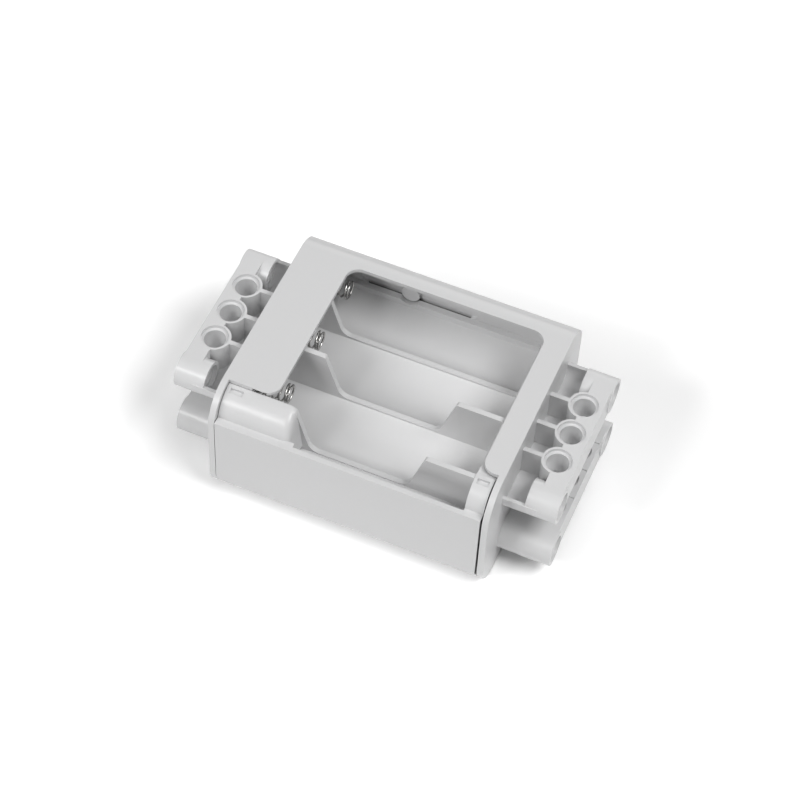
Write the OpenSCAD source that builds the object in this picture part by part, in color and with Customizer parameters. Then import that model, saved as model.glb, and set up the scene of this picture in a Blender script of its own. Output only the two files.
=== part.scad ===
// Empty holder for six round cells: three bays above and three below, back to back in one tray.
// The tray sits in a sleeve that has a block of pin holes at each end.
// X runs along the cells, -Y is the front, +Z is up.
// The origin is in the middle of the underside. Sizes are in millimetres.

/* [Cells] */
// Diameter of one cell
cell_d = 14.5; // [12:0.1:17.5]
// Length of one cell, with its button
cell_l = 50.5; // [42:0.1:61]
// Free room beside a cell, on each side
cell_clear = 0.15; // [0.1:0.05:0.4]
// Free room between a cell and the plate over it
cell_lift = 0.1; // [0.05:0.05:0.5]

/* [Sleeve] */
// Radius of the sleeve's long edges
corner_r = 8; // [6.5:0.1:9.6]
// Thickness of the top and bottom plates
plate_t = 1; // [0.8:0.05:1.3]
// Thickness of the end walls
end_wall_t = 1.4; // [1:0.05:2]
// Thickness of the back wall
back_wall_t = 1.3; // [1.1:0.05:1.8]
// Width of the wide strip of plate over the springs
wide_strip = 12.4; // [8:0.1:16]
// Width of the narrow strip of plate over the buttons
narrow_strip = 5.5; // [4:0.1:9]
// Depth of the band of plate along the back
back_band = 8.4; // [6:0.1:12]
// How far the wide strip stays back from the front face
wide_strip_setback = 7.9; // [6.5:0.1:9]
// How far the narrow strip stays back from the front face
narrow_strip_setback = 8.5; // [6.5:0.1:10]
// Radius of the window's corners
window_r = 3; // [1:0.1:3.5]
// Length of the shallow recess in the back wall
recess_l = 28.1; // [20:0.1:36]
// Depth of that recess
recess_t = 0.5; // [0.2:0.05:0.7]
// Radius of the peg on the back wall
peg_r = 2.15; // [1.5:0.05:2.5]
// How far the peg stands out from the back wall
peg_h = 0.5; // [0.4:0.1:1.1]
// Distance of the peg from the recess's end, beside the springs
peg_in = 12.1; // [6:0.1:20]
// Height of the peg's axis above the tray's ridges
peg_rise = 1.85; // [1:0.05:3]
// Free room around the peg in the tray's notch
peg_clear = 0.4; // [0.2:0.05:0.6]
// Distance of the slot in the wide strip's front edge from the sleeve's end
slot_x = 6.85; // [5:0.05:8]
// Length of that slot
slot_l = 3.3; // [2:0.1:4]
// Depth of that slot
slot_w = 2; // [1:0.1:4]
// Thickness of plate left over that slot
slot_skin = 0.25; // [0.2:0.05:0.5]

/* [End blocks] */
// Spacing of the pin holes
module_l = 8; // [7.6:0.1:9.6]
// Radius of a pin hole
pin_r = 2.45; // [2:0.05:2.6]
// Radius of the counterbore at a pin hole's mouth
mouth_r = 3.1; // [2.8:0.05:3.2]
// Depth of that counterbore
mouth_h = 0.87; // [0.5:0.01:1.2]
// Outer radius of an upright tube
tube_r = 3.6; // [3.4:0.05:3.7]
// Outer radius of a lying corner boss, and half the height of a block level
boss_r = 3.95; // [3.6:0.05:4]
// Length of a corner boss
boss_l = 7.1; // [5:0.1:8]
// Distance of the tube axes from the sleeve's end
tube_out = 7.8; // [6.5:0.1:9.6]
// How far the corner bosses reach past the sleeve's end
boss_out = 12.1; // [11.2:0.1:14]
// How far the bosses stand proud of the wall between them
boss_proud = 0.3; // [0.1:0.1:1]
// Thickness of the pocket's floor and side walls
pocket_t = 0.85; // [0.7:0.05:1.3]
// Height of the pocket's side walls above the boss axes
pocket_lip = 1; // [0.5:0.1:2]
// Thickness of the ribs that carry the tubes
rib_t = 1.05; // [0.8:0.05:1.5]

/* [Tray] */
// Thickness of the fins between the bays
fin_t = 1.2; // [1:0.05:1.5]
// Thickness of the tray's other walls
tray_t = 1.2; // [1:0.05:1.35]
// Thickness of the tray's rear ridge
rear_ridge_t = 1.5; // [1.2:0.05:2]
// Thickness between two bays, back to back, at the bottom of their troughs
web_t = 0.8; // [0.6:0.1:1.6]
// Height of the low ridges above the middle of the tray
ridge_h = 3; // [2.5:0.1:4]
// Height of a ridge's upright sides, above the edges of its troughs
ridge_step = 0.6; // [0.3:0.05:1]
// Gap between the plates and the tops of the fins
fin_gap = 0.5; // [0.3:0.05:0.8]
// Lean of a fin's free edge
fin_lean = 18; // [8:1:25]
// Radius where a fin's edge meets its ridge
fin_foot_r = 2.75; // [1:0.05:3.5]
// Radius at the top of a fin's edge
fin_tip_r = 0.8; // [0.3:0.1:1.5]
// Reach of the long fins from the sleeve's end
long_fin = 17.2; // [14:0.1:20]
// Reach of the middle fin over the buttons from the sleeve's end
middle_fin = 16.6; // [14:0.1:20]
// Reach of the short fin from the sleeve's end
short_fin = 10.8; // [8:0.1:14]
// Reach of the fin behind the hump from the sleeve's end
hump_fin = 17.5; // [14:0.1:20]
// Lean of that fin's free edge
hump_fin_lean = 16.7; // [8:0.1:25]
// Reach of the ledge over the buttons from the sleeve's end
ledge = 6.05; // [5.2:0.05:6.5]
// Clearance between the tray and the sleeve
tray_gap = 0.3; // [0.2:0.05:0.5]
// Gap between the front panel and the sleeve at the panel's left end
left_gap = 0.12; // [0.05:0.01:0.5]
// The same gap at its right end
right_gap = 0.45; // [0.2:0.05:0.8]
// Depth of the space for contact plates at the tray's ends
contact_space = 1.3; // [1:0.05:1.8]
// Radius of the window in front of each contact
contact_window_r = 4; // [3.6:0.1:4.6]
// Width of the gap between the front panel and the front bay
channel_w = 5.4; // [4.5:0.1:8]
// Thickness of the front panel
panel_t = 1.3; // [1:0.05:1.8]
// Distance of the channel's floor below the ridges
channel_drop = 0.35; // [0.2:0.05:1]
// Distance of the front panel's edges from the top and the underside
panel_drop = 6; // [5:0.1:7]
// Distance of the hump's front behind the front face
hump_inset = 1.7; // [1.4:0.1:2]
// Distance of the hump's crest below the top
hump_drop = 1.1; // [1.1:0.1:1.6]
// Reach of the hump's crest from the sleeve's end
hump_l = 17.6; // [14:0.1:20]
// Lean of the hump's end
hump_lean = 8; // [4:0.5:12]
// Radius of the edge at the hump's end
hump_end_r = 1.6; // [0.5:0.1:2.5]

/* [Contacts] */
// Thickness of the contact plates
contact_t = 0.4; // [0.3:0.05:0.6]
// Distance between the edge of a pad behind a cell and the side of its bay
pad_edge = 2.4; // [1.9:0.1:2.9]
// Width of the strips that join two pads
strip_w = 5; // [3:0.1:6]
// Radius of a stamped button
button_r = 3; // [2:0.1:3.3]
// Height of a stamped button
button_h = 1.9; // [1.5:0.1:2.5]
// Room left for a spring behind a fitted cell
spring_work = 6; // [5:0.1:8]
// Free length of a spring
spring_l = 9.8; // [8:0.1:12]
// Diameter of the spring wire
wire_d = 0.5; // [0.4:0.05:0.6]
// Mean radius of a spring's free end
spring_tip_r = 2.1; // [1.8:0.1:2.8]
// Mean radius of a spring's base
spring_base_r = 2.9; // [2.2:0.1:3.2]
// Number of open turns in a spring
spring_turns = 5.5; // [4:0.5:7]
// Length of a terminal's solder tab
tab_l = 4.4; // [3:0.1:4.6]
// Width of a terminal's solder tab
tab_w = 3; // [2:0.1:3.4]
// Radius of the hole in a solder tab
tab_hole_r = 0.8; // [0.4:0.1:1]

/* [Bottom cover] */
// Thickness of the bottom cover
cover_t = 0.8; // [0.6:0.05:0.8]
// Clearance around the bottom cover
cover_gap = 0.2; // [0.1:0.05:0.4]
// Clearance of the cover's hooks in their recesses
hook_gap = 0.15; // [0.1:0.05:0.3]
// Depth of the recesses for a cover's hooks, below the hump's crest
hook_depth = 0.75; // [0.6:0.05:0.9]
// Width of those recesses
hook_w = 1.2; // [0.8:0.1:1.4]
// Length of the recess in the hump
hump_hook_l = 3.05; // [2:0.05:3.5]
// Length of the recess in the pad
pad_hook_l = 2.7; // [2:0.05:3]

/* [Hidden] */
$fn = 64;

// Overlap that lets a cut run clear of a face
eps = 0.01;
// A length that reaches past the whole part
far = 200;
bays = 3;

// Rows of bays across the depth
bay_w = cell_d + 2 * cell_clear;
pitch = bay_w + fin_t;
body_d = panel_t + channel_w + fin_t + bays * bay_w + (bays - 1) * fin_t + back_wall_t;
front_y = -body_d / 2;
back_in = body_d / 2 - back_wall_t;
panel_in = front_y + panel_t;
front_ridge_y = panel_in + channel_w;
front_ridge_y1 = front_ridge_y + fin_t;

// Heights
body_h = 2 * (web_t / 2 + cell_d + cell_lift + plate_t);
mid_z = body_h / 2;
cell_z = body_h - plate_t - cell_lift - cell_d / 2;
low_cell_z = body_h - cell_z;
ridge_z = mid_z + ridge_h;
fin_z = body_h - plate_t - fin_gap;
channel_z = ridge_z - channel_drop;
trough_rise = ridge_h - ridge_step - web_t / 2;
trough_r = (pow(bay_w / 2, 2) + pow(trough_rise, 2)) / (2 * trough_rise);
trough_z = mid_z + web_t / 2 + trough_r;

// Lengths
end_stack = end_wall_t + tray_gap + contact_space;
body_l = cell_l + spring_work + button_h + 2 * end_stack;
end_x = body_l / 2;
inner_x = end_x - end_wall_t;
tray_x = inner_x - tray_gap;
contact_x = tray_x - contact_space;
wall_x = contact_x - tray_t;
ledge_x = end_x - ledge;
panel_x0 = -inner_x + left_gap;
panel_x1 = inner_x - right_gap;

// The window in the top plate
window_x0 = -end_x + wide_strip;
window_x1 = end_x - narrow_strip;
window_y1 = body_d / 2 - back_band;
wide_strip_y = front_y + wide_strip_setback;
narrow_strip_y = front_y + narrow_strip_setback;

// The recess in the back wall, and the peg in it
recess_end = 0.2;
recess_x0 = window_x0 - recess_end;
recess_r = 1.5;
recess_lip = 0.3;
recess_z = ridge_z + recess_lip;
recess_slot = 2.4;
peg_x = recess_x0 + peg_in;
peg_z = ridge_z + peg_rise;

// The tray's rear ridge, against the back wall
rear_ridge_y1 = back_in;
rear_ridge_y0 = rear_ridge_y1 - rear_ridge_t;
rear_ridge_z = ridge_z + recess_lip;

// The front hump and pad
hump_y = front_y + corner_r;
hump_r = corner_r - hump_inset;
crest_z = body_h - hump_drop;
hump_z = crest_z - hump_r;
hump_x = -end_x + hump_l;
hump_foot_x = hump_x + (crest_z - ridge_z) * tan(hump_lean);
hump_foot_in = 0.6;
fin_sink = 0.05;

// Recesses for the hooks of a cover, set in from the tray's ends and behind the channel
hump_hook_in = 0.65;
pad_hook_in = 0.95;
hook_out = 0.95;
hump_hook_x = -tray_x + hump_hook_in;
pad_hook_x = tray_x - pad_hook_in - pad_hook_l;
hook_y0 = front_ridge_y - hook_out;
hook_y1 = hook_y0 + hook_w;
hook_z = crest_z - hook_depth;

// The end blocks
level_z = mid_z + module_l;
tube_x = end_x + tube_out;
boss_x1 = end_x + boss_out;
boss_x0 = boss_x1 - boss_l;
beam_x1 = boss_x1 - boss_proud;
beam_over = 0.5;
beam_x0 = tube_x - beam_over;
boss_y = 2 * module_l;
root = 0.5;
notch = [1.3, 0.4, 0.3];
notch_out = 2.6;
notch_x = tube_x + notch_out;
notch_y = 3;

// The steps in a fin's curves and in a spring's coils
arc_steps = 8;
turn_steps = 14;
wire_sides = 6;

// The spring's turns and its seat on a plate
closed_pitch = 1.06 * wire_d;
spring_total = spring_turns + 2;
open_pitch = (spring_l - wire_d - 2 * closed_pitch) / spring_turns;
seat_gap = 0.02;

// The contact plates
pad_w = bay_w - 2 * pad_edge;
strip_clear = 0.5;

function bay_y(i) = back_in - bay_w / 2 - pitch * (bays - 1 - i);
function ridge_y(i) = bay_y(i) - bay_w / 2 - fin_t;
function arc(c, r, a0, a1) = [
    for (i = [0:arc_steps])
        let (a = a0 + (a1 - a0) * i / arc_steps)
            [c[0] + r * cos(a), c[1] + r * sin(a)]
];

// Outline of a fin in X and Z, from its wall at x = x_wall to its leaning free edge
function fin_outline(x_wall, reach, lean) =
    let (
        x_tip = -end_x + reach,
        x_foot = x_tip + (fin_z - ridge_z) * tan(lean),
        turn = (90 - lean) / 2,
        tip = [x_tip - fin_tip_r * tan(turn), fin_z - fin_tip_r],
        foot = [x_foot + fin_foot_r * tan(turn), ridge_z + fin_foot_r]
    )
    concat(
        [[x_wall, mid_z], [x_wall, fin_z]],
        arc(tip, fin_tip_r, 90, lean),
        arc(foot, fin_foot_r, 180 + lean, 270),
        [[foot[0], mid_z]]
    );

// Extrudes a drawing in Y and Z along X
module along_x(x0, x1) {
    translate([x0, 0, 0])
        rotate([90, 0, 90])
            linear_extrude(x1 - x0)
                children();
}

// Extrudes a drawing in X and Z along Y
module along_y(y0, y1) {
    translate([0, y1, 0])
        rotate([90, 0, 0])
            linear_extrude(y1 - y0)
                children();
}

module block(p0, p1) {
    translate(p0)
        cube(p1 - p0);
}

module rect(p0, p1) {
    translate(p0)
        square(p1 - p0);
}

// A cylinder along X
module rod_x(x0, x1, y, z, r) {
    translate([x0, y, z])
        rotate([0, 90, 0])
            cylinder(h = x1 - x0, r = r);
}

// Half a turn about the line along Y through the middle: what is above goes below
module half_turn() {
    translate([0, 0, body_h])
        rotate([0, 180, 0])
            children();
}

// A rectangle with round corners
module round_rect(p0, p1, r) {
    rect([p0[0] + r, p0[1]], [p1[0] - r, p1[1]]);
    rect([p0[0], p0[1] + r], [p1[0], p1[1] - r]);
    for (x = [p0[0] + r, p1[0] - r])
        for (y = [p0[1] + r, p1[1] - r])
            translate([x, y])
                circle(r = r);
}

// The window and the open front, seen from above, drawn smaller by a gap
module window_shape(gap) {
    x0 = window_x0 + gap;
    x1 = window_x1 - gap;
    y1 = window_y1 - gap;
    r = window_r - gap;
    rect([x0, front_y - 1], [x1, y1 - r]);
    rect([x0 + r, y1 - r - eps], [x1 - r, y1]);
    for (x = [x0 + r, x1 - r])
        translate([x, y1 - r])
            circle(r = r);
    rect([-inner_x + gap, front_y - 1], [x1 - eps, wide_strip_y - gap]);
    rect([x0 + eps, front_y - 1], [inner_x - gap, narrow_strip_y - gap]);
    strip_corner(window_x0 - window_r, wide_strip_y + window_r, window_r + gap, 1);
    strip_corner(window_x1 + window_r, narrow_strip_y + window_r, window_r + gap, -1);
}

// What a strip's round front corner gives to the window
module strip_corner(x, y, r, side) {
    difference() {
        translate([side > 0 ? x : x - r, y - r])
            square(r);
        translate([x, y])
            circle(r = r);
    }
}

// The sleeve's outline in Y and Z
module sleeve_profile() {
    round_rect([front_y, 0], [body_d / 2, body_h], corner_r);
}

module sleeve_cavity_profile() {
    round_rect([front_y - corner_r, plate_t], [back_in, body_h - plate_t], corner_r - back_wall_t);
}

module sleeve() {
    difference() {
        along_x(-end_x, end_x)
            sleeve_profile();
        along_x(-inner_x, inner_x)
            sleeve_cavity_profile();
        translate([0, 0, mid_z])
            linear_extrude(far)
                window_shape(0);
        half_turn()
            translate([0, 0, mid_z])
                linear_extrude(far)
                    window_shape(0);
        back_recess();
        strip_slot();
        half_turn()
            strip_slot();
    }
    intersection() {
        back_peg();
        along_x(-end_x, end_x)
            sleeve_profile();
    }
}

// The slot under the wide strip's front edge, for a cover's catch
module strip_slot() {
    block(
        [-end_x + slot_x, wide_strip_y - eps, body_h - plate_t - eps],
        [-end_x + slot_x + slot_l, wide_strip_y + slot_w, body_h - slot_skin]
    );
}

// The shallow recess in the back wall, under the top plate, open below behind the tray's ridge
module back_recess() {
    along_y(back_in - 1, back_in + recess_t)
        round_rect(
            [recess_x0, recess_z],
            [recess_x0 + recess_l, body_h - corner_r],
            recess_r
        );
    block(
        [recess_x0 + recess_r, back_in - 1, recess_z - recess_slot],
        [recess_x0 + recess_l - recess_r, back_in + recess_t, recess_z + recess_r]
    );
}

module back_peg() {
    translate([peg_x, back_in + back_wall_t / 2, peg_z])
        rotate([90, 0, 0])
            cylinder(h = peg_h + back_wall_t / 2, r = peg_r);
}

// The trough-shaped pocket between a block's outer wall and the sleeve, in Y and Z
module pocket_profile() {
    difference() {
        union() {
            rect([-boss_y, level_z - boss_r], [boss_y, level_z - boss_r + pocket_t]);
            for (side = [-1, 1])
                intersection() {
                    union() {
                        translate([side * boss_y, level_z])
                            circle(r = boss_r);
                        rect([-boss_y - boss_r, level_z], [boss_y + boss_r, level_z + pocket_lip]);
                    }
                    translate([side > 0 ? boss_y : -boss_y - boss_r, level_z - boss_r])
                        square([boss_r, boss_r + pocket_lip]);
                }
        }
        for (side = [-1, 1]) {
            translate([side * boss_y, level_z])
                circle(r = boss_r - pocket_t);
            rect(
                [side > 0 ? boss_y : -boss_y - boss_r + pocket_t, level_z],
                [side > 0 ? boss_y + boss_r - pocket_t : -boss_y, level_z + far]
            );
        }
    }
}

// A hole along Z with a counterbore at each mouth
module pin_hole_z(x, y) {
    z0 = level_z - boss_r;
    z1 = level_z + boss_r;
    translate([x, y, z0 - 1])
        cylinder(h = z1 - z0 + 2, r = pin_r);
    translate([x, y, z0 - 1])
        cylinder(h = 1 + mouth_h, r = mouth_r);
    translate([x, y, z1 - mouth_h])
        cylinder(h = 1 + mouth_h, r = mouth_r);
}

// A hole along X with a counterbore at each mouth
module pin_hole_x(y) {
    rod_x(boss_x0 - eps, boss_x1 + 1, y, level_z, pin_r);
    rod_x(boss_x0 - eps, boss_x0 + mouth_h, y, level_z, mouth_r);
    rod_x(boss_x1 - mouth_h, boss_x1 + 1, y, level_z, mouth_r);
}

// One level of pin holes at the +X end
module block_level() {
    z0 = level_z - boss_r;
    z1 = level_z + boss_r;
    difference() {
        union() {
            along_x(end_x - root, beam_x0 + root)
                pocket_profile();
            block([beam_x0, -boss_y, z0], [beam_x1, boss_y, z1]);
            for (y = [-boss_y, boss_y])
                rod_x(boss_x0, boss_x1, y, level_z, boss_r);
            for (i = [-1, 0, 1]) {
                translate([tube_x, i * module_l, z0])
                    cylinder(h = z1 - z0, r = tube_r);
                block(
                    [end_x - root, i * module_l - rib_t / 2, z0],
                    [tube_x - pin_r - eps, i * module_l + rib_t / 2, z1]
                );
            }
        }
        for (i = [-1, 0, 1]) {
            pin_hole_z(tube_x, i * module_l);
            translate([notch_x, i * module_l + notch_y, z0 - eps])
                cube([notch[0], notch[1], notch[2] + eps]);
        }
        for (y = [-boss_y, boss_y])
            pin_hole_x(y);
    }
}

module end_blocks() {
    difference() {
        for (side = [0, 1])
            mirror([side, 0, 0]) {
                block_level();
                translate([0, 0, body_h])
                    mirror([0, 0, 1])
                        block_level();
            }
        block([-end_x + root, -body_d, 0], [end_x - root, body_d, body_h]);
    }
}

module outer_frame() {
    color("gainsboro") {
        sleeve();
        end_blocks();
    }
}

// The troughs and low ridges of the upper bays, in Y and Z
module trough_profile() {
    difference() {
        union() {
            rect([front_ridge_y, mid_z], [rear_ridge_y1, ridge_z]);
            rect([rear_ridge_y0, mid_z], [rear_ridge_y1, rear_ridge_z]);
        }
        for (i = [0:bays - 1]) {
            y0 = bay_y(i) - bay_w / 2;
            y1 = min(bay_y(i) + bay_w / 2, rear_ridge_y0);
            intersection() {
                translate([bay_y(i), trough_z])
                    circle(r = trough_r, $fn = 96);
                rect([y0, mid_z], [y1, trough_z]);
            }
            rect([y0, ridge_z - ridge_step], [y1, trough_z]);
        }
    }
}

// A fin with its foot on ridge i, at the spring side or the button side
module fin(i, reach, button_side, lean = fin_lean) {
    mirror([button_side ? 1 : 0, 0, 0])
        along_y(ridge_y(i), ridge_y(i) + fin_t)
            polygon(fin_outline(-wall_x - eps, reach, lean));
}

// The curve of the hump and pad in Y and Z, drawn smaller by a wall
module hump_profile(inset) {
    intersection() {
        union() {
            translate([hump_y, hump_z])
                circle(r = hump_r - inset);
            rect([hump_y - hump_r + inset, mid_z - far], [hump_y + hump_r, hump_z]);
            rect([hump_y, mid_z - far], [hump_y + hump_r, crest_z - inset]);
        }
        rect([front_y, mid_z - far], [front_ridge_y1, body_h]);
    }
}

// Half of the hump's section along X, from its axis outward, round at the free end
module hump_half_section() {
    rect([0, -far], [hump_r, -hump_end_r]);
    rect([0, -far], [hump_r - hump_end_r, 0]);
    translate([hump_r - hump_end_r, -hump_end_r])
        circle(r = hump_end_r);
}

// The hump in front of the springs, from x_end, down to z0, its end leaning out below the crest
module hump(z0, x_end) {
    intersection() {
        multmatrix([
            [1, 0, -tan(hump_lean), crest_z * tan(hump_lean)],
            [0, 1, 0, 0],
            [0, 0, 1, 0]
        ])
            intersection() {
                union() {
                    translate([hump_x, hump_y, hump_z])
                        rotate([0, 90, 0])
                            rotate_extrude()
                                hump_half_section();
                    translate([hump_x, hump_y, z0 - 1])
                        linear_extrude(hump_z - z0 + 1)
                            rotate([0, 0, -90])
                                mirror([1, 0, 0])
                                    hump_half_section();
                }
                block([-body_l, panel_in - 1, z0], [0, front_ridge_y1, body_h]);
            }
        block([x_end, front_y - 1, z0], [0, front_ridge_y1, body_h]);
    }
    block([x_end, panel_in - eps, z0], [hump_foot_x, hump_y - hump_r + hump_foot_in, body_h - panel_drop]);
}

// The pad in front of the buttons, up to x_end, down to z0
module pad(z0, x_end) {
    intersection() {
        along_x(ledge_x, x_end)
            union() {
                hump_profile(0);
                rect([panel_in - eps, mid_z - far], [hump_y, body_h - panel_drop]);
            }
        block([ledge_x, front_y, z0], [x_end, front_ridge_y1, body_h]);
    }
}

// Walls, fins and covers of the upper half of the tray
module tray_half() {
    along_x(-wall_x - eps, wall_x + eps)
        trough_profile();
    for (side = [-1, 1]) {
        x0 = side > 0 ? wall_x : -contact_x;
        x1 = side > 0 ? contact_x : -wall_x;
        block([x0, front_ridge_y1 - eps, mid_z], [x1, rear_ridge_y1, fin_z]);
        rim_x0 = side > 0 ? wall_x : -tray_x;
        rim_x1 = side > 0 ? tray_x : -wall_x;
        block([rim_x0, rear_ridge_y0, mid_z], [rim_x1, rear_ridge_y1, fin_z]);
    }
    block([-tray_x, front_ridge_y1 - eps, fin_z - tray_t], [-wall_x, rear_ridge_y1, fin_z]);
    block([ledge_x, front_ridge_y1 - eps, fin_z - tray_t], [tray_x, rear_ridge_y1, fin_z]);
    fin(2, short_fin, false);
    fin(1, long_fin, false);
    fin(1, middle_fin, true);
    intersection() {
        union() {
            block([-tray_x, front_ridge_y, mid_z], [-wall_x, front_ridge_y1, fin_z]);
            block([wall_x, front_ridge_y, mid_z], [tray_x, front_ridge_y1, fin_z]);
            fin(0, hump_fin, false, hump_fin_lean);
            fin(0, long_fin, true);
        }
        along_x(-tray_x - 1, tray_x + 1)
            hump_profile(fin_sink);
    }
}

// Hollows, windows and recesses of the upper half of the tray, above a floor at z0
module tray_half_cuts(z0) {
    intersection() {
        union() {
            block([-tray_x - 1, panel_in, z0], [hump_x - tray_t, front_ridge_y, crest_z]);
            block([ledge_x + tray_t, panel_in, z0], [tray_x + 1, front_ridge_y, crest_z]);
        }
        along_x(-tray_x - 2, tray_x + 2)
            hump_profile(tray_t);
    }
    for (i = [0:bays - 1]) {
        rod_x(-contact_x - eps, -wall_x + eps, bay_y(i), cell_z, contact_window_r);
        rod_x(wall_x - eps, contact_x + eps, bay_y(i), cell_z, contact_window_r);
    }
    block([hump_hook_x, hook_y0, hook_z], [hump_hook_x + hump_hook_l, hook_y1, body_h]);
    block([pad_hook_x, hook_y0, hook_z], [pad_hook_x + pad_hook_l, hook_y1, body_h]);
    translate([peg_x, back_in + eps, peg_z])
        rotate([90, 0, 0])
            cylinder(h = back_in - rear_ridge_y0 + 2 * eps, r = peg_r + peg_clear);
}

module front_panel() {
    block([panel_x0, front_y, panel_drop], [panel_x1, panel_in, body_h - panel_drop]);
}

module channel_floor() {
    block(
        [panel_x0, panel_in - eps, channel_z - tray_t],
        [panel_x1, front_ridge_y + eps, channel_z]
    );
}

// What the sleeve's cavity leaves for the tray, in Y and Z
module tray_room_profile() {
    round_rect(
        [front_y - corner_r, body_h - fin_z],
        [rear_ridge_y1, fin_z],
        corner_r - back_wall_t + tray_gap
    );
}

module cell_tray() {
    floor_z = channel_z - tray_t / 2;
    color("lightgray")
        difference() {
            union() {
                intersection() {
                    union() {
                        tray_half();
                        half_turn()
                            tray_half();
                    }
                    along_x(-tray_x - 1, tray_x + 1)
                        tray_room_profile();
                }
                hump(floor_z, panel_x0);
                pad(floor_z, panel_x1);
                half_turn() {
                    hump(body_h - floor_z, -panel_x1);
                    pad(body_h - floor_z, -panel_x0);
                }
                channel_floor();
                front_panel();
            }
            tray_half_cuts(channel_z);
            half_turn()
                tray_half_cuts(body_h - channel_z + tray_t);
        }
}

// One hook under the cover's front curve, drawn for an upper cover
module hook(x0, l) {
    block(
        [x0 + hook_gap, hook_y0 + hook_gap, hook_z + hook_gap],
        [x0 + l - hook_gap, hook_y1 - hook_gap, body_h - cover_t + eps]
    );
}

module bottom_cover() {
    color("gainsboro")
        half_turn() {
            intersection() {
                translate([0, 0, body_h - panel_drop + tray_gap])
                    linear_extrude(far)
                        window_shape(cover_gap);
                difference() {
                    along_x(-inner_x, inner_x)
                        sleeve_profile();
                    along_x(-inner_x - 1, inner_x + 1)
                        round_rect(
                            [front_y + cover_t, -far],
                            [body_d, body_h - cover_t],
                            corner_r - cover_t
                        );
                }
            }
            hook(hump_hook_x, hump_hook_l);
            hook(pad_hook_x, pad_hook_l);
        }
}

// A spring's place along its axis and its radius, after t turns
function coil_x(t) =
    closed_pitch * min(t, 1)
    + open_pitch * max(0, min(t - 1, spring_turns))
    + closed_pitch * max(0, t - 1 - spring_turns);
function coil_r(t) =
    spring_base_r + (spring_tip_r - spring_base_r) * min(1, t / (spring_total / 2));
function coil_ring(t) = [
    for (k = [0:wire_sides - 1])
        let (
            a = 360 * t,
            b = 360 * k / wire_sides,
            r = coil_r(t) + wire_d / 2 * cos(b)
        )
            [coil_x(t) + wire_d / 2 * sin(b), r * cos(a), r * sin(a)]
];

// A coil along +X from a base at x = 0
module coil() {
    steps = round(spring_total * turn_steps);
    last = steps * wire_sides;
    points = [for (i = [0:steps]) each coil_ring(i * spring_total / steps)];
    sides = [
        for (i = [0:steps - 1])
            for (k = [0:wire_sides - 1])
                let (
                    a = i * wire_sides + k,
                    b = i * wire_sides + (k + 1) % wire_sides
                )
                    each [[a, a + wire_sides, b], [b, a + wire_sides, b + wire_sides]]
    ];
    start_cap = [for (k = [0:wire_sides - 1]) k];
    end_cap = [for (k = [wire_sides - 1:-1:0]) last + k];
    translate([wire_d / 2, 0, 0])
        polyhedron(points, concat(sides, [start_cap, end_cap]));
}

// The spring of an upper bay, on the plate at the -X end
module upper_spring(i) {
    color("silver")
        translate([-contact_x + seat_gap, bay_y(i), cell_z])
            coil();
}

module lower_spring(i) {
    half_turn()
        upper_spring(i);
}

// A flat pad behind the cell of bay i, with or without a stamped button, at the +X end
module contact_pad(i, z, button) {
    difference() {
        union() {
            intersection() {
                block(
                    [contact_x, bay_y(i) - pad_w / 2, z - pad_w / 2],
                    [contact_x + contact_t, bay_y(i) + pad_w / 2, z + pad_w / 2]
                );
                along_x(contact_x - 1, tray_x)
                    tray_room_profile();
            }
            if (button)
                rod_x(contact_x - button_h, contact_x + eps, bay_y(i), z, button_r);
        }
        if (button)
            rod_x(
                contact_x - button_h + contact_t, contact_x + contact_t + 1,
                bay_y(i), z, button_r - contact_t
            );
    }
}

// A strip between the pads of bays i and j, at the heights zi and zj, clear of both buttons
module contact_strip(i, zi, j, zj) {
    dy = bay_y(j) - bay_y(i);
    dz = zj - zi;
    span = sqrt(dy * dy + dz * dz);
    keep_clear = button_r + strip_clear;
    translate([contact_x, bay_y(i), zi])
        rotate([atan2(dz, dy), 0, 0])
            translate([0, keep_clear, -strip_w / 2])
                cube([contact_t, span - 2 * keep_clear, strip_w]);
}

// Joins an upper button to the spring plate below it, at the +X end
module right_link(i) {
    color("lightsteelblue") {
        contact_pad(i, cell_z, true);
        contact_pad(i, low_cell_z, false);
        contact_strip(i, low_cell_z, i, cell_z);
    }
}

// Joins a lower button to the spring plate of the next upper bay, at the -X end
module left_link(i) {
    color("lightsteelblue")
        mirror([1, 0, 0]) {
            contact_pad(i, low_cell_z, true);
            contact_pad(i + 1, cell_z, false);
            contact_strip(i, low_cell_z, i + 1, cell_z);
        }
}

// A single plate with a solder tab towards the middle, at the -X end
module terminal(i, z, button) {
    toward = z > mid_z ? -1 : 1;
    tab_z = z + toward * (pad_w / 2 + tab_l / 2 - eps);
    color("lightsteelblue")
        mirror([1, 0, 0]) {
            contact_pad(i, z, button);
            difference() {
                translate([contact_x + contact_t / 2, bay_y(i), tab_z])
                    cube([contact_t, tab_w, tab_l], center = true);
                rod_x(
                    contact_x - 1, contact_x + 1,
                    bay_y(i), z + toward * (pad_w / 2 + tab_l - tab_w / 2), tab_hole_r
                );
            }
        }
}

outer_frame();
cell_tray();
bottom_cover();
upper_spring(0);  // spring_upper_front
upper_spring(1);  // spring_upper_middle
upper_spring(2);  // spring_upper_rear
lower_spring(0);  // spring_lower_front
lower_spring(1);  // spring_lower_middle
lower_spring(2);  // spring_lower_rear
right_link(0);  // right_link_front
right_link(1);  // right_link_middle
right_link(2);  // right_link_rear
left_link(0);  // left_link_front
left_link(1);  // left_link_rear
terminal(0, cell_z, false);  // negative_terminal
terminal(2, low_cell_z, true);  // positive_terminal
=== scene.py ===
"""Looks of an empty holder for six round cells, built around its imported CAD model."""

import math

import bmesh
import bpy
from mathutils import Matrix, Vector


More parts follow.
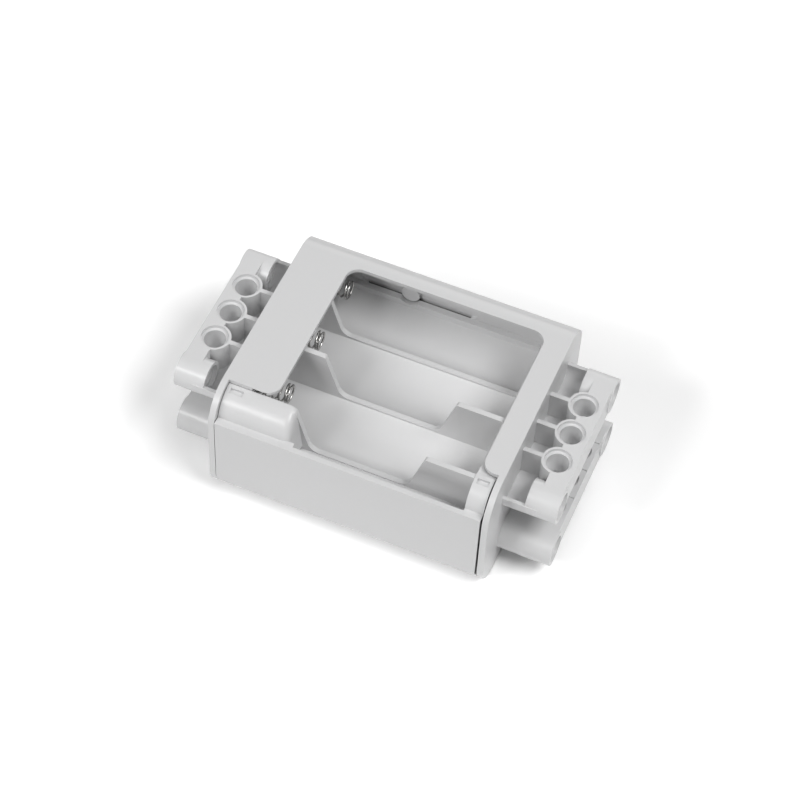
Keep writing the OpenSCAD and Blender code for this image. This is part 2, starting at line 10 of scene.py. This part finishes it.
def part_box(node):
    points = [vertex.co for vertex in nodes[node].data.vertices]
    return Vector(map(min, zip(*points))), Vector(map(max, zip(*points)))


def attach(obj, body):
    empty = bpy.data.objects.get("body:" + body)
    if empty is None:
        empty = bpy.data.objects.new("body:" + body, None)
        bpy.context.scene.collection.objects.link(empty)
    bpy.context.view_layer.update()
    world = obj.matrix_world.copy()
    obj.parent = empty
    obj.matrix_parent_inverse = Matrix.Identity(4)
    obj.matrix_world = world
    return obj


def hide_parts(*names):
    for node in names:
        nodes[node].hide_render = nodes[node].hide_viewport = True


MM = 0.001

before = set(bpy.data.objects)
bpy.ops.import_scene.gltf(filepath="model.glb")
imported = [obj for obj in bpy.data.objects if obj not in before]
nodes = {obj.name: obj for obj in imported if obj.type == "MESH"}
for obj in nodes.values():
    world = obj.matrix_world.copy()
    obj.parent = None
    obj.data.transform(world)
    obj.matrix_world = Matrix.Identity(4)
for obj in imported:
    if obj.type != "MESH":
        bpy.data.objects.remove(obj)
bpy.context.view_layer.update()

# Materials

# The part of a noise's output that most of its values fall in
NOISE_MIDDLE = (0.3, 0.7)

# Noises: features to the metre, or to the millimetre on the wire, then detail and roughness
MOTTLE = (900, 4.0, 0.7)
GLOSS_PATCHES = (700, 2.0, 0.5)
MOULD_WAVE = (130, 1.0, 0.5)
MOULD_GRAIN = (3200, 2.0, 0.6)
ROLLED_LINES = (5200, 2.0, 0.6)
ROLLED_CLOUD = (420, 3.0, 0.5)
DRAWN_LINES = (2.0, 3.0, 0.6)

# Scales that stretch the lines: down the plates, and along the wire
ROLLED_STRETCH = (1, 1, 0.04)
DRAWN_STRETCH = (1, 24, 1)

# Bumps: height in metres, then strength
MOULD_WAVE_BUMP = (0.012 * MM, 0.3)
MOULD_GRAIN_BUMP = (0.0014 * MM, 0.4)
ROLLED_BUMP = (0.004 * MM, 0.4)
DRAWN_BUMP = (0.003 * MM, 0.4)

ROLLED_ROUGHNESS = (0.2, 0.36)
DRAWN_ROUGHNESS = (0.1, 0.2)

PLASTIC_IOR = 1.53

# Painted shade in crevices: the distance within which walls count, the shares of open directions
# at which the painted shade is full and gone, its colour, and the directions tried
CREVICE_REACH = 2 * MM
CREVICE_OPEN = (0.08, 0.28)
CREVICE_SHADE = (0.07, 0.07, 0.07)
CREVICE_SAMPLES = 8


def new_material(name):
    """A node material with nothing in it, and its node tree."""
    material = bpy.data.materials.new(name)
    material.use_nodes = True
    tree = material.node_tree
    tree.nodes.clear()
    return material, tree


def add(tree, kind, **values):
    """A node with its named inputs set; names with a leading _ are the node's own settings."""
    node = tree.nodes.new(kind)
    for key, value in values.items():
        if key.startswith("_"):
            setattr(node, key[1:], value)
        else:
            node.inputs[key.replace("_", " ")].default_value = value
    return node


def noise(tree, vector, scale, detail, rough):
    node = add(tree, "ShaderNodeTexNoise", Scale=scale, Detail=detail, Roughness=rough)
    tree.links.new(vector, node.inputs["Vector"])
    return node.outputs["Fac"]


def remap(tree, value, source, target):
    """Maps the range source to the range target, which the result never leaves."""
    node = add(
        tree,
        "ShaderNodeMapRange",
        _clamp=True,
        From_Min=source[0],
        From_Max=source[1],
        To_Min=target[0],
        To_Max=target[1],
    )
    tree.links.new(value, node.inputs["Value"])
    return node.outputs["Result"]


def mix_colour(tree, fac, first, second):
    """From the colour first to second, which is a colour or another node's output."""
    node = add(tree, "ShaderNodeMix", _data_type="RGBA", A=(*first, 1))
    tree.links.new(fac, node.inputs["Factor"])
    if isinstance(second, tuple):
        node.inputs["B"].default_value = (*second, 1)
    else:
        tree.links.new(second, node.inputs["B"])
    return node.outputs["Result"]


def tint(tree, fac, deep, pale):
    """A noise's values as shades between two colours."""
    return mix_colour(tree, remap(tree, fac, NOISE_MIDDLE, (0, 1)), deep, pale)


def bump(tree, height, distance, strength, under=None):
    node = add(tree, "ShaderNodeBump", Distance=distance, Strength=strength)
    tree.links.new(height, node.inputs["Height"])
    if under is not None:
        tree.links.new(under, node.inputs["Normal"])
    return node.outputs["Normal"]


def finish_shader(tree, shader):
    out = add(tree, "ShaderNodeOutputMaterial")
    tree.links.new(shader.outputs["BSDF"], out.inputs["Surface"])


def finish_surface(tree, shader, colour, gloss, roughness, normal):
    """Links a shader's colour and normal, and spreads a noise over its range of roughness."""
    tree.links.new(colour, shader.inputs["Base Color"])
    tree.links.new(remap(tree, gloss, NOISE_MIDDLE, roughness), shader.inputs["Roughness"])
    tree.links.new(normal, shader.inputs["Normal"])
    finish_shader(tree, shader)


def paint_crevice_shade(tree, colour):
    """Painted shade: turns a colour dark where walls stand so close together that hardly any
    light gets in.
    """
    near = add(
        tree, "ShaderNodeAmbientOcclusion", Distance=CREVICE_REACH, _samples=CREVICE_SAMPLES
    )
    open_share = remap(tree, near.outputs["AO"], CREVICE_OPEN, (0, 1))
    return mix_colour(tree, open_share, CREVICE_SHADE, colour)


def moulded_plastic(name, pale, deep, roughness):
    """Moulded plastic: faint flow mottling, a fine grain, the slow waviness of a moulding, and
    shade painted into its crevices.
    """
    material, tree = new_material(name)
    place = add(tree, "ShaderNodeTexCoord").outputs["Object"]
    shader = add(tree, "ShaderNodeBsdfPrincipled", IOR=PLASTIC_IOR)
    mottled = tint(tree, noise(tree, place, *MOTTLE), deep, pale)
    gloss = noise(tree, place, *GLOSS_PATCHES)
    wave = bump(tree, noise(tree, place, *MOULD_WAVE), *MOULD_WAVE_BUMP)
    grain = bump(tree, noise(tree, place, *MOULD_GRAIN), *MOULD_GRAIN_BUMP, wave)
    # The base colour carries painted shade where walls stand close together
    finish_surface(tree, shader, paint_crevice_shade(tree, mottled), gloss, roughness, grain)
    return material


def plated_sheet(name, pale, deep):
    """Nickel-plated strip: rolling lines along one way, and a cloudy colour."""
    material, tree = new_material(name)
    place = add(tree, "ShaderNodeTexCoord").outputs["Object"]
    stretch = add(tree, "ShaderNodeMapping", Scale=ROLLED_STRETCH)
    tree.links.new(place, stretch.inputs["Vector"])
    shader = add(tree, "ShaderNodeBsdfPrincipled", Metallic=1.0)
    lines = noise(tree, stretch.outputs["Vector"], *ROLLED_LINES)
    cloudy = tint(tree, noise(tree, place, *ROLLED_CLOUD), deep, pale)
    rolled = bump(tree, lines, *ROLLED_BUMP)
    finish_surface(tree, shader, cloudy, lines, ROLLED_ROUGHNESS, rolled)
    return material


def drawn_wire(name, pale, deep):
    """Bright plated wire: drawing lines run along it, read from the sweep's own UV."""
    material, tree = new_material(name)
    along = add(tree, "ShaderNodeTexCoord").outputs["UV"]
    stretch = add(tree, "ShaderNodeMapping", Scale=DRAWN_STRETCH)
    tree.links.new(along, stretch.inputs["Vector"])
    shader = add(tree, "ShaderNodeBsdfPrincipled", Metallic=1.0)
    lines = noise(tree, stretch.outputs["Vector"], *DRAWN_LINES)
    streaky = tint(tree, lines, deep, pale)
    drawn = bump(tree, lines, *DRAWN_BUMP)
    finish_surface(tree, shader, streaky, lines, DRAWN_ROUGHNESS, drawn)
    return material


frame_plastic = moulded_plastic(
    "frame_plastic", (0.662, 0.662, 0.665), (0.655, 0.656, 0.659), (0.31, 0.34)
)
tray_plastic = moulded_plastic(
    "tray_plastic", (0.656, 0.656, 0.659), (0.648, 0.649, 0.652), (0.3, 0.33)
)
contact_metal = plated_sheet("contact_metal", (0.5, 0.49, 0.465), (0.4, 0.39, 0.37))
spring_metal = drawn_wire("spring_metal", (0.5, 0.495, 0.485), (0.36, 0.355, 0.345))

# CAD nodes

WELD_WITHIN = 0.001 * MM
FLAT_WITHIN_DEG = 0.5
ROUND_FROM_DEG = 35
ROUND_SEGMENTS = 2

# Material and width of the rounded edges: the mouldings, and then the contact plates
MOULDINGS = {
    "outer_frame": (frame_plastic, 0.15 * MM),
    "cell_tray": (tray_plastic, 0.2 * MM),
    "bottom_cover": (tray_plastic, 0.2 * MM),
}
CONTACT_PLATE = (contact_metal, 0.04 * MM)


def dress(node_name, material, rounding):
    """Gives a CAD node its material and small round edges, by modifiers alone."""
    piece = nodes[node_name]
    piece.data.materials.clear()
    piece.data.materials.append(material)
    weld = piece.modifiers.new("weld", "WELD")
    weld.merge_threshold = WELD_WITHIN
    flat = piece.modifiers.new("flat", "DECIMATE")
    flat.decimate_type = "DISSOLVE"
    flat.angle_limit = math.radians(FLAT_WITHIN_DEG)
    edge = piece.modifiers.new("edge", "BEVEL")
    edge.width = rounding
    edge.segments = ROUND_SEGMENTS
    edge.limit_method = "ANGLE"
    edge.angle_limit = math.radians(ROUND_FROM_DEG)
    piece.modifiers.new("even", "WEIGHTED_NORMAL")


for name in nodes:
    if not name.startswith("spring_"):
        dress(name, *MOULDINGS.get(name, CONTACT_PLATE))

# Springs

WIRE_D = 0.5 * MM
WIRE_SIDES = 14
TURNS = 7.5
STEPS_PER_TURN = 48
CLOSED_PITCH = 0.53 * MM
TIP_RADIUS = 2.1 * MM

# The share of the turns, from the base, over which the coil narrows
CONE_SHARE = 0.5

# The wire's ends: where the rings of the dome stand, and its height as a share of the radius
END_RINGS_DEG = (30, 60)
END_HEIGHT = 0.6


def coil_path(length, base_radius):
    """Points along a coil whose first and last turns are closed and whose base is wider."""
    open_turns = TURNS - 2
    open_pitch = (length - WIRE_D - 2 * CLOSED_PITCH) / open_turns
    points = []
    for k in range(int(TURNS * STEPS_PER_TURN) + 1):
        t = k / STEPS_PER_TURN
        closed = min(t, 1) + max(0, t - (TURNS - 1))
        opened = min(max(t - 1, 0), open_turns)
        x = WIRE_D / 2 + closed * CLOSED_PITCH + opened * open_pitch
        cone = min(t / (TURNS * CONE_SHARE), 1)
        radius = base_radius + (TIP_RADIUS - base_radius) * cone
        angle = 2 * math.pi * t
        points.append(Vector((x, radius * math.cos(angle), radius * math.sin(angle))))
    return points


def skin(mesh, first, second):
    """Smooth faces from one ring of the wire to the next."""
    faces = []
    for s in range(WIRE_SIDES):
        n = (s + 1) % WIRE_SIDES
        faces.append(mesh.faces.new((first[s], first[n], second[n], second[s])))
        faces[-1].smooth = True
    return faces


def close_end(mesh, ring, centre, outward, radius):
    """A low dome over the wire's last ring, whose axis is outward."""
    inner = ring
    for turn in END_RINGS_DEG:
        narrower = math.cos(math.radians(turn))
        rise = outward * (radius * END_HEIGHT * math.sin(math.radians(turn)))
        step = [mesh.verts.new(centre + (v.co - centre) * narrower + rise) for v in ring]
        skin(mesh, inner, step)
        inner = step
    tip = mesh.verts.new(centre + outward * (radius * END_HEIGHT))
    for s in range(WIRE_SIDES):
        n = (s + 1) % WIRE_SIDES
        mesh.faces.new((inner[s], inner[n], tip)).smooth = True


def sweep_wire(name, points, radius):
    """A closed round wire along the points, with domed ends and a UV that runs along it."""
    mesh = bmesh.new()
    uv = mesh.loops.layers.uv.new("wire")
    last = len(points) - 1
    rings, tangents, lengths = [], [], []
    measure = 0.0
    for k, point in enumerate(points):
        before, after = points[max(k - 1, 0)], points[min(k + 1, last)]
        tangent = (after - before).normalized()
        outward = Vector((0, point.y, point.z)).normalized()
        side = tangent.cross(outward).normalized()
        outward = side.cross(tangent).normalized()
        if k:
            measure += (point - points[k - 1]).length
        ring = []
        for s in range(WIRE_SIDES):
            a = 2 * math.pi * s / WIRE_SIDES
            offset = outward * math.cos(a) + side * math.sin(a)
            ring.append(mesh.verts.new(point + offset * radius))
        rings.append(ring)
        tangents.append(tangent)
        lengths.append(measure / MM)
    for k in range(last):
        for s, face in enumerate(skin(mesh, rings[k], rings[k + 1])):
            left, right = s / WIRE_SIDES, (s + 1) / WIRE_SIDES
            start, end = lengths[k], lengths[k + 1]
            corners = ((start, left), (start, right), (end, right), (end, left))
            for loop, corner in zip(face.loops, corners):
                loop[uv].uv = corner
    close_end(mesh, rings[0], points[0], -tangents[0], radius)
    close_end(mesh, rings[last], points[last], tangents[last], radius)
    bmesh.ops.recalc_face_normals(mesh, faces=mesh.faces)
    data = bpy.data.meshes.new(name)
    mesh.to_mesh(data)
    mesh.free()
    piece = bpy.data.objects.new(name, data)
    bpy.context.scene.collection.objects.link(piece)
    return piece


def build_spring(node_name):
    """The fine spring that stands where the CAD spring is."""
    low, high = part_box(node_name)
    centre = (low + high) / 2
    base = low.x
    points = coil_path(high.x - low.x, (high.y - low.y - WIRE_D) / 2)
    if "lower" in node_name:
        # The lower half is the upper half turned about the line along the depth
        base = high.x
        points = [Vector((-p.x, p.y, -p.z)) for p in points]
    piece = sweep_wire(node_name.replace("spring", "coil"), points, WIRE_D / 2)
    piece.data.transform(Matrix.Translation((base, centre.y, centre.z)))
    piece.data.materials.append(spring_metal)
    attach(piece, "root")
    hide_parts(node_name)


for name in sorted(nodes):
    if name.startswith("spring_"):
        build_spring(name)

# Floor and light

FLOOR_SIZE = 3.0
FLOOR_DROP = 0.05 * MM

# The floor's colour for the light that it throws back, and the whiter one that is seen
FLOOR_TONE = (0.9, 0.9, 0.9)
FLOOR_TONE_SHOWN = (1.25, 1.25, 1.25)

OBJECT_MIDDLE = Vector((0, 0, 0.016))

# Azimuth and elevation in degrees, distance, width and height in metres, and radiance
LAMPS = {
    "key": (-25, 41, 1.2, 0.2, 0.2, 18.8),
    "front_left": (-50, 35, 1.3, 0.7, 0.5, 5.5),
    "right": (80, 56, 1.3, 0.7, 0.5, 9.1),
    "back": (180, 22, 1.3, 1.0, 0.5, 1.8),
    "front_high": (10, 58, 1.3, 0.8, 0.5, 0.9),
    "top": (0, 88, 1.3, 0.8, 0.8, 0.7),
}


def shown_background(tree):
    """1 for rays that see the background: from the camera, off a gloss, or through glass."""
    path = add(tree, "ShaderNodeLightPath")
    total = path.outputs["Is Camera Ray"]
    for other in ("Is Glossy Ray", "Is Transmission Ray"):
        more = add(tree, "ShaderNodeMath", _operation="ADD", _use_clamp=True)
        tree.links.new(total, more.inputs[0])
        tree.links.new(path.outputs[other], more.inputs[1])
        total = more.outputs[0]
    return total


def build_floor():
    material, tree = new_material("floor_white")
    paper = add(tree, "ShaderNodeBsdfDiffuse")
    tone = mix_colour(tree, shown_background(tree), FLOOR_TONE, FLOOR_TONE_SHOWN)
    tree.links.new(tone, paper.inputs["Color"])
    finish_shader(tree, paper)
    mesh = bpy.data.meshes.new("floor")
    h = FLOOR_SIZE / 2
    corners = [(-h, -h, 0), (h, -h, 0), (h, h, 0), (-h, h, 0)]
    mesh.from_pydata(corners, [], [(0, 1, 2, 3)])
    mesh.materials.append(material)
    floor = bpy.data.objects.new("floor", mesh)
    floor.location.z = -FLOOR_DROP
    bpy.context.scene.collection.objects.link(floor)


def build_world():
    """White where the background shows, and no light on the object."""
    world = bpy.data.worlds.new("studio")
    bpy.context.scene.world = world
    world.use_nodes = True
    tree = world.node_tree
    tree.nodes.clear()
    dark = add(tree, "ShaderNodeBackground", Strength=0.0)
    white = add(tree, "ShaderNodeBackground", Color=(1, 1, 1, 1), Strength=1.0)
    pick = add(tree, "ShaderNodeMixShader")
    tree.links.new(shown_background(tree), pick.inputs["Fac"])
    tree.links.new(dark.outputs[0], pick.inputs[1])
    tree.links.new(white.outputs[0], pick.inputs[2])
    out = add(tree, "ShaderNodeOutputWorld")
    tree.links.new(pick.outputs[0], out.inputs["Surface"])


def softbox(name, azimuth, elevation, distance, width, height, radiance):
    """A rectangular soft light aimed at the object, given by the radiance of its face."""
    data = bpy.data.lights.new(name, "AREA")
    data.shape = "RECTANGLE"
    data.size = width
    data.size_y = height
    data.energy = radiance * math.pi * width * height
    light = bpy.data.objects.new(name, data)
    a, e = math.radians(azimuth), math.radians(elevation)
    way = Vector((math.sin(a) * math.cos(e), -math.cos(a) * math.cos(e), math.sin(e)))
    light.location = OBJECT_MIDDLE + way * distance
    light.rotation_euler = way.to_track_quat("Z", "Y").to_euler()
    light.visible_camera = False
    bpy.context.scene.collection.objects.link(light)


build_floor()
build_world()
for name, lamp in LAMPS.items():
    softbox(name, *lamp)

# Camera

CAMERA_AT = Vector((113.22, -304.12, 447.93)) * MM
CAMERA_AIM = Vector((0.256, 1.31, 15.98)) * MM
CAMERA_ROLL_DEG = 3.408

# The lens and the sensor are in millimetres, the clipping distances in metres
CAMERA_LENS = 110.64
CAMERA_SENSOR = 36
CLIP_START = 0.01
CLIP_END = 20


def build_camera():
    """The camera at the photograph's viewing angle, rolled about the line to its aim."""
    lens = bpy.data.cameras.new("camera")
    lens.sensor_width = CAMERA_SENSOR
    lens.lens = CAMERA_LENS
    lens.clip_start = CLIP_START
    lens.clip_end = CLIP_END
    camera = bpy.data.objects.new("camera", lens)
    forward = (CAMERA_AIM - CAMERA_AT).normalized()
    level_right = forward.cross(Vector((0, 0, 1))).normalized()
    level_up = level_right.cross(forward)
    roll = math.radians(CAMERA_ROLL_DEG)
    right = level_right * math.cos(roll) + level_up * math.sin(roll)
    up = level_up * math.cos(roll) - level_right * math.sin(roll)
    axes = Matrix((right, up, -forward)).transposed()
    camera.matrix_world = Matrix.Translation(CAMERA_AT) @ axes.to_4x4()
    bpy.context.scene.collection.objects.link(camera)
    bpy.context.scene.camera = camera


build_camera()
bpy.context.scene.view_settings.view_transform = "Standard"

bpy.context.view_layer.update()
